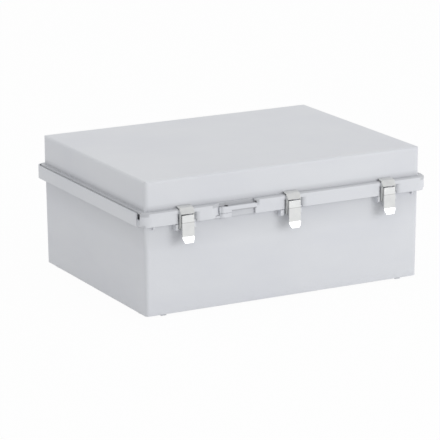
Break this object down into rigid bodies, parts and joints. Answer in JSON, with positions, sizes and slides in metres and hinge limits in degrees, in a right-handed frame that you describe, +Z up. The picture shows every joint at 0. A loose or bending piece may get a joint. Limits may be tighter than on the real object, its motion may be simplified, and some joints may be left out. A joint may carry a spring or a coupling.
{
  "type": "hinged enclosure",
  "caption": "Hinged polycarbonate enclosure with a deep overlapping lid, steel draw latches, a padlock tab, a gasketed rim and brass inserts for a back panel and for mounting.",
  "frame": {"origin": "middle of the plane that the corner pads stand on, centred on the overall outline", "axes": "+Z up out of the lid, +X along the long side, latches on the -Y side and hinges on the +Y side"},
  "size_m": [0.522, 0.4185, 0.22],
  "materials": {
    "shell": "satin light grey polycarbonate",
    "latch_steel": "pressed stainless sheet, softly polished",
    "pins": "plain stainless rod",
    "brass": "machined",
    "seal": "matte black foam"
  },
  "bodies": {
    "base": {"base": "shell", "panel_inserts": "brass", "mounting_inserts": "brass", "hinge_pin_left": "pins", "hinge_pin_mid": "pins", "hinge_pin_right": "pins", "lever_pin_left": "pins", "lever_pin_mid": "pins", "lever_pin_right": "pins"},
    "lid": {"lid": "shell", "gasket": "seal"},
    "lever_left": {"lever_left": "latch_steel"},
    "claw_left": {"claw_left": "latch_steel", "claw_pin_left": "pins"},
    "lever_mid": {"lever_mid": "latch_steel"},
    "claw_mid": {"claw_mid": "latch_steel", "claw_pin_mid": "pins"},
    "lever_right": {"lever_right": "latch_steel"},
    "claw_right": {"claw_right": "latch_steel", "claw_pin_right": "pins"}
  },
  "joints": [
    {"name": "lid_hinge", "type": "hinge", "parent": "base", "child": "lid", "pos_m": [0, 0.205, 0.161], "axis": [-1, 0, 0], "range_deg": [0, 170]},
    {"name": "lever_left_pivot", "type": "hinge", "parent": "base", "child": "lever_left", "pos_m": [-0.183, -0.1991, 0.155], "axis": [-1, 0, 0], "range_deg": [0, 120]},
    {"name": "claw_left_pivot", "type": "hinge", "parent": "lever_left", "child": "claw_left", "pos_m": [-0.183, -0.1965, 0.1436], "axis": [1, 0, 0], "range_deg": [0, 120]},
    {"name": "lever_mid_pivot", "type": "hinge", "parent": "base", "child": "lever_mid", "pos_m": [0.007, -0.1991, 0.155], "axis": [-1, 0, 0], "range_deg": [0, 120]},
    {"name": "claw_mid_pivot", "type": "hinge", "parent": "lever_mid", "child": "claw_mid", "pos_m": [0.007, -0.1965, 0.1436], "axis": [1, 0, 0], "range_deg": [0, 120]},
    {"name": "lever_right_pivot", "type": "hinge", "parent": "base", "child": "lever_right", "pos_m": [0.183, -0.1991, 0.155], "axis": [-1, 0, 0], "range_deg": [0, 120]},
    {"name": "claw_right_pivot", "type": "hinge", "parent": "lever_right", "child": "claw_right", "pos_m": [0.183, -0.1965, 0.1436], "axis": [1, 0, 0], "range_deg": [0, 120]}
  ],
  "couplings": [
    {"joint": "claw_left_pivot", "follows": "lever_left_pivot", "ratio": 1},
    {"joint": "claw_mid_pivot", "follows": "lever_mid_pivot", "ratio": 1},
    {"joint": "claw_right_pivot", "follows": "lever_right_pivot", "ratio": 1}
  ]
}
